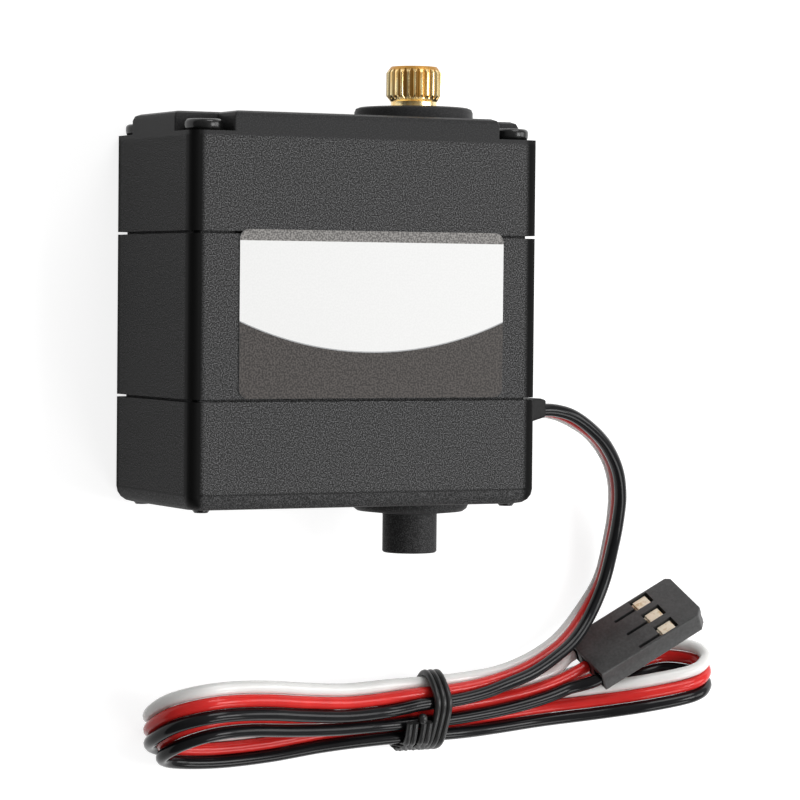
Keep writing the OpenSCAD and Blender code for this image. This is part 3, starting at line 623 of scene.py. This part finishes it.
# %% A tree that puts one piece at the corners of a rectangle
def new_tree(name, inputs):
    """An empty tree with a geometry output and the named inputs."""
    tree = bpy.data.node_groups.new(name, "GeometryNodeTree")
    tree.interface.new_socket("Geometry", in_out="OUTPUT", socket_type="NodeSocketGeometry")
    for label, kind in inputs:
        tree.interface.new_socket(label, in_out="INPUT", socket_type=kind)
    return tree, tree.nodes.new("NodeGroupInput"), tree.nodes.new("NodeGroupOutput")


def tree_node(tree, kind, sockets=None, settings=None):
    """Adds a node. A socket takes a plain value or another node's output."""
    node = tree.nodes.new(kind)
    for name, value in (settings or {}).items():
        setattr(node, name, value)
    for name, value in (sockets or {}).items():
        if isinstance(value, bpy.types.NodeSocket):
            tree.links.new(value, node.inputs[name])
        else:
            node.inputs[name].default_value = value
    return node


def made_by(name, tree, **values):
    """A new piece that the tree makes from the values of its named inputs, as a plain mesh."""
    piece = joined_to_scene(name, bpy.data.meshes.new(name))
    modifier = piece.modifiers.new(tree.name, "NODES")
    modifier.node_group = tree
    for item in tree.interface.items_tree:
        if item.in_out == "INPUT":
            modifier[item.identifier] = values[item.name.replace(" ", "_")]
    return settled(piece)


corner_tree, given, result = new_tree("at the corners", [
    ("Distance along", "NodeSocketFloat"), ("Distance across", "NodeSocketFloat"),
    ("Middle", "NodeSocketVector"), ("Piece", "NodeSocketObject"), ("Finish", "NodeSocketMaterial")])
grid = tree_node(corner_tree, "GeometryNodeMeshGrid", {
    "Size X": given.outputs["Distance along"], "Size Y": given.outputs["Distance across"],
    "Vertices X": 2, "Vertices Y": 2})
upright = (math.pi / 2, 0, 0)
corners = tree_node(corner_tree, "GeometryNodeTransform", {
    "Geometry": grid.outputs["Mesh"], "Translation": given.outputs["Middle"], "Rotation": upright})
source = tree_node(corner_tree, "GeometryNodeObjectInfo", {"Object": given.outputs["Piece"]})
placed = tree_node(corner_tree, "GeometryNodeInstanceOnPoints", {
    "Points": corners.outputs["Geometry"], "Instance": source.outputs["Geometry"]})
real = tree_node(corner_tree, "GeometryNodeRealizeInstances", {"Geometry": placed.outputs["Instances"]})
painted = tree_node(corner_tree, "GeometryNodeSetMaterial", {
    "Geometry": real.outputs["Geometry"], "Material": given.outputs["Finish"]})
corner_tree.links.new(painted.outputs["Geometry"], result.inputs["Geometry"])

# %% The four screws
screw_black = Finish("blackened screw", Specular_IOR_Level=0.35, Coat_Weight=0.08, Coat_Roughness=0.08)
worn = screw_black.noise(0.8 * mm, detail=4)
screw_black.set(Base_Color=screw_black.ramp(worn, (0.4, grey(0.006)), (0.75, grey(0.018))))
screw_black.set(Roughness=worn * 0.15 + 0.16)
screw_black.set(Normal=screw_black.bump(screw_black.noise(0.5 * mm), 0.02 * mm, 0.3))
screw_middle = (screws_low + screws_high) / 2
case_screws = made_by(
    "case_screws_set", corner_tree,
    Distance_along=screws_high.x - screws_low.x - head_d,
    Distance_across=screws_high.z - screws_low.z - head_d,
    Middle=(screw_middle.x, 0, screw_middle.z), Piece=screw, Finish=screw_black.material)
bpy.data.objects.remove(screw)
smooth_shaded(case_screws, 40)
dress(case_screws, "case_screws", screw_black.material)
print("screws:", len(case_screws.data.polygons), "faces")

# %% [markdown]
# ## The label
#
# The label is a thin printed sticker: a narrow grey strip, a white field whose lower edge is an arc with
# a light rim, and a dark grey field under it. It carries no words here. Each field is its own face, so
# the printed edges stay sharp at any distance. A narrow side drops from the outer edges to the case,
# because the sheet has a small thickness.

# %% Printing inks
label_low, label_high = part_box("label")


def ink(name, colour, shade, grain_depth):
    """A print whose darkest grain is shade times its colour."""
    finish = Finish(name, Roughness=0.5, IOR=1.45, Specular_IOR_Level=0.3)
    grain = finish.noise(0.19 * mm, detail=0)
    darker = tuple(shade * part for part in colour[:3]) + (1,)
    finish.set(Base_Color=finish.ramp(grain, (0.38, darker), (0.64, colour)))
    finish.set(Normal=finish.bump(grain, 0.05 * mm, grain_depth))
    return finish.material


white_ink = ink("white print", grey(0.84, (1, 1, 0.99)), 0.97, 0.03)
strip_ink = ink("grey print", grey(0.29, (1, 0.96, 0.92)), 0.42, 0.5)
dark_ink = ink("dark print", grey(0.08, (1, 0.88, 0.81)), 0.4, 0.5)
rim_ink = ink("light rim of the print", grey(0.42, (0.96, 0.98, 1)), 0.9, 0.1)

# %% The label's fields
corner = 1 * mm
rim = 0.12 * mm
strip_height = 1.15 * mm
field_sag = 3.15 * mm
field_side = label_high.y - 9.3 * mm
half_width = (label_high.x - label_low.x) / 2
middle_x = (label_high.x + label_low.x) / 2
arc_radius = (half_width ** 2 + field_sag ** 2) / (2 * field_sag)


def quarter(centre_x, centre_y, start):
    angles = (math.radians(start + 15 * k) for k in range(7))
    return [(centre_x + corner * math.cos(a), centre_y + corner * math.sin(a)) for a in angles]


def arc_points(drop):
    """The white field's lower edge from left to right, lowered by drop."""
    across = [label_low.x + 2 * half_width * k / 32 for k in range(33)]
    centre_y = field_side - field_sag + arc_radius
    return [(x, centre_y - math.sqrt(arc_radius ** 2 - (x - middle_x) ** 2) - drop) for x in across]


white_field, strip_field, dark_field, rim_field = range(4)
left, right, low, high = label_low.x, label_high.x, label_low.y, label_high.y
strip_edge = high - strip_height
fields = [
    ([(left, strip_edge), (right, strip_edge)] + quarter(right - corner, high - corner, 0)
     + quarter(left + corner, high - corner, 90), strip_field),
    (arc_points(0) + [(right, strip_edge), (left, strip_edge)], white_field),
    (arc_points(rim) + arc_points(0)[::-1], rim_field),
    (quarter(left + corner, low + corner, 180) + quarter(right - corner, low + corner, 270)
     + arc_points(rim)[::-1], dark_field),
]
work = bmesh.new()
for outline, field in fields:
    face = work.faces.new([work.verts.new((x, y, label_high.z)) for x, y in outline])
    face.material_index = field
bmesh.ops.remove_doubles(work, verts=work.verts, dist=0.001 * mm)
outer_edges = [edge for edge in work.edges if edge.is_boundary]
under = {}
for edge in outer_edges:
    for vert in edge.verts:
        if vert not in under:
            under[vert] = work.verts.new((vert.co.x, vert.co.y, label_low.z))
for edge in outer_edges:
    start, end = edge.verts
    side = work.faces.new([start, end, under[end], under[start]])
    side.material_index = rim_field
bmesh.ops.recalc_face_normals(work, faces=work.faces)
label = piece_from("label_print", work)
for paint in (white_ink, strip_ink, dark_ink, rim_ink):
    label.data.materials.append(paint)
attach(label, "servo_body")
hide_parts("label")
print("label:", len(label.data.polygons), "faces")

# %% [markdown]
# ## Metals
#
# The output shaft is turned brass with a rolled spline: golden on the tips of its teeth, with painted
# shade that darkens its grooves. One function makes the plain metals, and the spline has its own.


# %% Metal finishes
def metal(name, colour, darker, roughness, scratch=0.3):
    finish = Finish(name, Metallic=1)
    mottle = finish.noise(1.2 * mm, detail=4, roughness=0.6)
    finish.set(Base_Color=finish.ramp(mottle, (0.3, darker), (0.68, colour)))
    finish.set(Roughness=finish.step(mottle, 0.2, 0.8) * 0.14 + (roughness - 0.07))
    finish.set(Normal=finish.bump(finish.noise(0.12 * mm, detail=3), 0.02 * mm, scratch))
    return finish.material


brass = metal("brass", (0.86, 0.58, 0.20, 1), (0.62, 0.36, 0.09, 1), 0.24)
steel = metal("bright steel", (0.62, 0.62, 0.63, 1), (0.5, 0.5, 0.51, 1), 0.25)
bronze = metal("sintered bronze", (0.52, 0.36, 0.19, 1), (0.4, 0.27, 0.13, 1), 0.5, 0.8)
can_steel = metal("plated motor can", (0.55, 0.55, 0.56, 1), (0.42, 0.42, 0.44, 1), 0.32)
copper = metal("copper", (0.80, 0.38, 0.24, 1), (0.6, 0.26, 0.15, 1), 0.3)

# %% Brass with painted shade in its grooves
bearing_low, bearing_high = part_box("bearing_outer_ring")
shaft_middle = (bearing_low + bearing_high) / 2
shaft_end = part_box("output_gear")[1].y
tooth_tip = 2.96 * mm
tooth_depth = 0.3 * mm
tooth_length = 3.4 * mm


def splined_brass():
    finish = Finish("splined brass", Metallic=1)
    across = finish.along("X") - shaft_middle.x
    deep = finish.along("Z") - shaft_middle.z
    distance = (across * across + deep * deep).root()
    teeth_start = shaft_end - tooth_length
    on_spline = finish.step(finish.along("Y"), teeth_start, teeth_start + 0.1 * mm)
    groove = (1 - finish.step(distance, tooth_tip - tooth_depth, tooth_tip - 0.12 * mm)) * on_spline
    stain = finish.noise(0.5 * mm, detail=3, stretch=(1, 0.35, 1))
    tooth_brass = finish.ramp(stain, (0.36, (0.90, 0.60, 0.23, 1)), (0.6, (1, 0.82, 0.44, 1)))
    # The grooves between the teeth get a dark brown: painted shade.
    finish.set(Base_Color=finish.mixed(groove, tooth_brass, (0.5, 0.26, 0.06, 1)))
    finish.set(Roughness=groove * 0.2 + 0.24)
    finish.set(Normal=finish.bump(finish.noise(0.35 * mm, detail=2), 0.01 * mm, 0.4))
    return finish.material


# %% The output shaft and the bearing round it
shaft_edge = 0.05 * mm
bearing_edge = 0.08 * mm
output_shaft = copy_of("output_gear", "output_shaft", shaft_edge, segments=3)
dress(output_shaft, "output_gear", splined_brass(), "output")
bearing_outer = copy_of("bearing_outer_ring", "bearing_outer", bearing_edge)
dress(bearing_outer, "bearing_outer_ring", steel)
bearing_inner = copy_of("bearing_inner_ring", "bearing_inner", bearing_edge)
dress(bearing_inner, "bearing_inner_ring", steel, "output")

# %% [markdown]
# ## The plug
#
# The plug is a flat black housing for three contacts. Each contact has a window near the far end, where
# its gold latch shows, and a narrow groove behind the window. The housing is cut from one block in the
# plug's own frame and then put where the solid lies, so that place and its three turns come first.

# %% The plug's own frame
plug_size = Vector((14, 7.3, 2.6)) * mm
plug_top = Vector((41, -35.4, 6.1)) * mm
plug_turn = [math.radians(angle) for angle in (-62, -9, 30.3)]
plug_frame = Matrix.Translation(plug_top) @ (
    Matrix.Rotation(plug_turn[2], 4, "Z") @ Matrix.Rotation(plug_turn[1], 4, "Y")
    @ Matrix.Rotation(plug_turn[0], 4, "X"))
far_end = plug_size.x / 2
half_plug = plug_size.y / 2
window_start, window_end = 1.3 * mm, far_end - 3.3 * mm
window_half, window_depth = 0.85 * mm, 1.9 * mm
groove_start = -1.5 * mm
groove_shift = -0.55 * mm
groove_half, groove_depth = 0.2 * mm, 1.2 * mm
mouth_half, mouth_length = 0.45 * mm, 4 * mm
mouth_low, mouth_high = -1.75 * mm, -0.85 * mm
entry_low, entry_high = -2.3 * mm, -0.5 * mm
entry_length = 1.5 * mm


def plug_finish():
    finish = Finish("plug plastic", IOR=1.5)
    cloud = finish.noise(2.5 * mm, detail=4)
    grain = finish.noise(0.35 * mm, detail=2)
    finish.set(Base_Color=finish.ramp(cloud * 0.5 + grain * 0.5, (0.4, grey(0.040)), (0.62, grey(0.066))))
    finish.set(Roughness=finish.step(cloud, 0.2, 0.8) * 0.12 + 0.4)
    finish.set(Normal=finish.bump(grain, 0.03 * mm, 0.5))
    return finish.material


# %% The housing
def prism(name, outline, low, high):
    """A block with that outline in x and y, from low to high in z."""
    work = bmesh.new()
    under, over = ([work.verts.new((x, y, z)) for x, y in outline] for z in (low, high))
    work.faces.new(under)
    work.faces.new(over)
    for i in range(len(outline)):
        work.faces.new([under[i - 1], under[i], over[i], over[i - 1]])
    bmesh.ops.recalc_face_normals(work, faces=work.faces)
    return piece_from(name, work)


small_cut, large_cut = 0.5 * mm, 0.8 * mm
plug_outline = [
    (-far_end, -half_plug), (far_end - large_cut, -half_plug), (far_end, -half_plug + large_cut),
    (far_end, half_plug - small_cut), (far_end - small_cut, half_plug), (-far_end, half_plug)]
plug = prism("plug_body", plug_outline, -plug_size.z, 0)
rounded(plug, 0.12 * mm)
tools = []
for k in (-1, 0, 1):
    y = k * contact_pitch
    tools += [
        block("window", (window_start, y - window_half, -window_depth), (window_end, y + window_half, mm)),
        block("groove", (groove_start, y + groove_shift - groove_half, -groove_depth),
              (window_start + mm / 10, y + groove_shift + groove_half, mm)),
        block("mouth", (far_end - mouth_length, y - mouth_half, mouth_low),
              (far_end + mm, y + mouth_half, mouth_high)),
        block("entry", (-far_end - mm, y - window_half, entry_low),
              (-far_end + entry_length, y + window_half, entry_high))]
cut(plug, tools)
plug.data.transform(plug_frame)
plug.data.polygons.foreach_set("use_smooth", [False] * len(plug.data.polygons))
dress(plug, "plug_housing", plug_finish())


# %% Several pieces made one
def merged(name, parts):
    """One piece out of the parts, which are removed."""
    work = bmesh.new()
    for part in parts:
        work.from_mesh(part.data)
        bpy.data.objects.remove(part)
    bmesh.ops.recalc_face_normals(work, faces=work.faces)
    return piece_from(name, work)


# %% The three contacts
gold = Finish("gold plate", Metallic=0.3)
tarnish = gold.noise(0.7 * mm, detail=4)
gold.set(Base_Color=gold.ramp(tarnish, (0.36, (0.78, 0.60, 0.36, 1)), (0.48, (1, 0.89, 0.70, 1))))
gold.set(Roughness=tarnish * 0.2 + 0.28)
gold.set(Normal=gold.bump(tarnish, 0.06 * mm, 0.5))
latch_half, body_half = 0.7 * mm, 0.6 * mm
barrel_length = 1.4 * mm
latch_parts = []
for k in (-1, 0, 1):
    y = k * contact_pitch
    latch_parts += [
        block("latch", (window_start + 0.35 * mm, y - latch_half, -0.45 * mm),
              (window_end - 0.3 * mm, y + latch_half, -0.25 * mm)),
        block("tongue", (window_start + 0.1 * mm, y + 0.1 * mm, -0.6 * mm),
              (window_start + 0.5 * mm, y + body_half, -0.4 * mm)),
        block("body", (window_start + 0.2 * mm, y - body_half, -window_depth),
              (window_end - 0.5 * mm, y + body_half, -0.43 * mm)),
        block("barrel", (groove_start - barrel_length, y - body_half, -window_depth),
              (window_start + 0.3 * mm, y + body_half, -1.25 * mm))]
contacts = merged("plug_latches", latch_parts)
rounded(contacts, 0.08 * mm)
contacts.data.transform(plug_frame)
dress(contacts, "plug_contacts", gold.material)

# %% [markdown]
# ## The wire tie
#
# A ribbed black tie goes once round the folded lead, and its two ends are twisted into a knot on top and
# laid down beside it. Its path is the tight loop round the wires, which is their convex hull in one
# cross-section. Geometry Nodes lay the ribs side by side along that loop, and along each tail.

# %% The tight loop round the wires at the tie
tie_x = 16.2 * mm
rib_d = 0.75 * mm
tie_offset = wire_d / 2 + 0.6 * mm
crossings = []
for wire, line in wires:
    for p, q in zip(line, line[1:]):
        if (p.x - tie_x) * (q.x - tie_x) < 0:
            crossings.append(p.lerp(q, (tie_x - p.x) / (q.x - p.x)))
around = [(c.y + tie_offset * math.cos(a), c.z + tie_offset * math.sin(a))
          for c in crossings for a in (math.radians(10 * k) for k in range(36))]


def hull(points):
    """The corners of the points' convex outline, in order."""
    points = sorted(points)
    outline = []
    for run in (points, points[::-1]):
        side = []
        for p in run:
            while len(side) > 1 and ((side[-1][0] - side[-2][0]) * (p[1] - side[-2][1])
                                     - (side[-1][1] - side[-2][1]) * (p[0] - side[-2][0])) <= 0:
                side.pop()
            side.append(p)
        outline += side[:-1]
    return outline


def evened(outline, step):
    """The closed outline with a point about every step."""
    spots = []
    for (y0, z0), (y1, z1) in zip(outline, outline[1:] + outline[:1]):
        parts = max(1, round(math.hypot(y1 - y0, z1 - z0) / step))
        spots += [(y0 + (y1 - y0) * k / parts, z0 + (z1 - z0) * k / parts) for k in range(parts)]
    return spots


def eased(outline, passes):
    """The closed outline with its corners rounded off."""
    for _ in range(passes):
        before = outline[-1:] + outline[:-1]
        after = outline[1:] + outline[:1]
        outline = [tuple((a + 2 * b + c) / 4 for a, b, c in zip(p, q, r))
                   for p, q, r in zip(before, outline, after)]
    return outline


lowest_rib = 0.3 * rib_d
tie_outline = eased(evened(hull(around), step=0.3 * mm), passes=28)
tie_loop = [(y, max(z, lowest_rib)) for y, z in tie_outline]
print("tie:", len(crossings), "wires held,", len(tie_loop), "points round them")


# %% Ribs along a path
def path_object(name, spots, closed):
    data = bpy.data.curves.new(name, "CURVE")
    data.dimensions = "3D"
    spline = data.splines.new("POLY")
    spline.points.add(len(spots) - 1)
    for point, spot in zip(spline.points, spots):
        point.co = (*spot, 1)
    spline.use_cyclic_u = closed
    return joined_to_scene(name, data)


rib_tree, given, result = new_tree("ribs along a path", [
    ("Path", "NodeSocketObject"), ("Ribs", "NodeSocketInt"), ("Pitch", "NodeSocketVector"),
    ("Rib diameter", "NodeSocketFloat"), ("Finish", "NodeSocketMaterial")])
path_info = tree_node(rib_tree, "GeometryNodeObjectInfo", {"Object": given.outputs["Path"]})
row = tree_node(rib_tree, "GeometryNodeMeshLine", {
    "Count": given.outputs["Ribs"], "Offset": given.outputs["Pitch"]})
copies = tree_node(rib_tree, "GeometryNodeInstanceOnPoints", {
    "Points": row.outputs["Mesh"], "Instance": path_info.outputs["Geometry"]})
real_paths = tree_node(rib_tree, "GeometryNodeRealizeInstances", {"Geometry": copies.outputs["Instances"]})
rib_radius = tree_node(rib_tree, "ShaderNodeMath", {0: given.outputs["Rib diameter"], 1: 0.5},
                       {"operation": "MULTIPLY"})
rib_profile = tree_node(rib_tree, "GeometryNodeCurvePrimitiveCircle", {
    "Resolution": 12, "Radius": rib_radius.outputs["Value"]})
tubes = tree_node(rib_tree, "GeometryNodeCurveToMesh", {
    "Curve": real_paths.outputs["Geometry"], "Profile Curve": rib_profile.outputs["Curve"],
    "Fill Caps": True})
painted = tree_node(rib_tree, "GeometryNodeSetMaterial", {
    "Geometry": tubes.outputs["Mesh"], "Material": given.outputs["Finish"]})
solid = tree_node(rib_tree, "GeometryNodeRealizeInstances", {"Geometry": painted.outputs["Geometry"]})
rib_tree.links.new(solid.outputs["Geometry"], result.inputs["Geometry"])

# %% The tie itself
tie_black = Finish("tie plastic", Roughness=0.33, IOR=1.48)
streak = tie_black.noise(0.5 * mm, detail=3)
tie_black.set(Base_Color=tie_black.ramp(streak, (0.3, grey(0.016)), (0.7, grey(0.026))))
tie_black.set(Normal=tie_black.bump(streak, 0.03 * mm, 0.5))

top_y = max(tie_loop, key=lambda spot: spot[1])[0]
knot_y = top_y - 1.9 * mm
knot_x = 13.9 * mm
lower_front = [spot for spot in tie_loop if spot[0] < knot_y and spot[1] > 0.9 * mm]
lower_front.sort(key=lambda spot: -spot[0])


def tail(start_x, lean, lift):
    """A path down the front of the bundle that goes lean to the right on its way, and lies lift above it."""
    fall = lower_front[0][0] - lower_front[-1][0]
    return [(start_x + lean * (lower_front[0][0] - y) / fall, y, z + lift) for y, z in lower_front]


rib_pitch = (0.7 * mm, 0, 0)
first_rib_x = tie_x - 0.72 * mm
rib_paths = [
    path_object("ring path", [(first_rib_x, y, z) for y, z in tie_loop], True),
    path_object("near tail path", tail(14.05 * mm, 0.3 * mm, 0.1 * mm), False),
    path_object("far tail path", tail(12.35 * mm, 0.4 * mm, 0.05 * mm), False)]
tie_parts = [
    made_by("tie ribs", rib_tree, Path=path, Ribs=ribs, Pitch=rib_pitch, Rib_diameter=rib_d,
            Finish=tie_black.material)
    for path, ribs in zip(rib_paths, (3, 2, 2))]
knot = turned_piece("knot", [
    (0, -0.6 * mm), (0.36 * mm, -0.5 * mm), (0.52 * mm, -0.15 * mm), (0.52 * mm, 0.2 * mm),
    (0.34 * mm, 0.5 * mm), (0, 0.6 * mm)], turns=20)
knot.data.transform(Matrix.Translation((knot_x, knot_y + 0.3 * mm, lower_front[0][1] + 0.1 * mm)))
for path in rib_paths:
    bpy.data.objects.remove(path)
tie = merged("twist_tie_ribbed", tie_parts + [knot])
smooth_shaded(tie, 60)
dress(tie, "twist_tie", tie_black.material)
print("tie:", len(tie.data.polygons), "faces")

# %% [markdown]
# ## The grommet, and everything inside the case
#
# The grommet is soft black rubber. The pieces inside keep their solids, and each gets the finish that it
# has on a real servo: brass and steel gears, a plated motor, copper windings, a green circuit board.

# %% Rubber and plastics
rubber = Finish("black rubber", Roughness=0.55, IOR=1.5, Specular_IOR_Level=0.2)
dust = rubber.noise(0.6 * mm, detail=4)
rubber.set(Base_Color=rubber.ramp(dust, (0.35, grey(0.006)), (0.7, grey(0.012))))
rubber.set(Normal=rubber.bump(rubber.noise(0.25 * mm), 0.02 * mm, 0.5))
grommet = copy_of("wire_grommet", "grommet", 0.25 * mm, segments=3)
dress(grommet, "wire_grommet", rubber.material)


def plastic(name, colour, roughness, grain=0.3 * mm):
    finish = Finish(name, IOR=1.48)
    mottle = finish.noise(grain, detail=3)
    darker = tuple(0.85 * part for part in colour[:3]) + (1,)
    finish.set(Base_Color=finish.ramp(mottle, (0.3, darker), (0.7, colour)))
    finish.set(Roughness=mottle * 0.15 + (roughness - 0.07))
    finish.set(Normal=finish.bump(mottle, 0.02 * mm, 0.3))
    return finish.material


inside = [
    (metal("pin steel", (0.60, 0.60, 0.61, 1), (0.48, 0.48, 0.5, 1), 0.28), [
        "bearing_balls", "long_gear_pin", "short_gear_pin", "third_gear", "motor_screws", "motor_shaft",
        "feedback_rotor"]),
    (brass, ["first_gear", "second_gear", "motor_pinion", "motor_terminals"]),
    (bronze, ["shaft_bush", "motor_bushes"]),
    (can_steel, ["motor_can", "motor_armature"]),
    (plastic("ferrite", grey(0.06), 0.55), ["motor_magnets"]),
    (plastic("natural nylon", (0.62, 0.58, 0.48, 1), 0.45), ["motor_end_cap"]),
    (copper, ["motor_windings", "motor_commutator", "motor_brushes"]),
    (plastic("solder mask", (0.02, 0.13, 0.05, 1), 0.3, 1.5 * mm), ["circuit_board"]),
    (plastic("moulded chip", grey(0.02), 0.5), ["controller_chip", "driver_chips"]),
    (plastic("blue plastic", (0.03, 0.06, 0.16, 1), 0.35), ["feedback_body", "board_capacitor"]),
    (plastic("inner wires", (0.5, 0.06, 0.05, 1), 0.35), ["feedback_wires", "inner_leads"]),
]
for finish, nodes in inside:
    for node in nodes:
        solid_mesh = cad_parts[node].data
        solid_mesh.materials.clear()
        solid_mesh.materials.append(finish)
print("inner solids:", sum(len(nodes) for finish, nodes in inside))
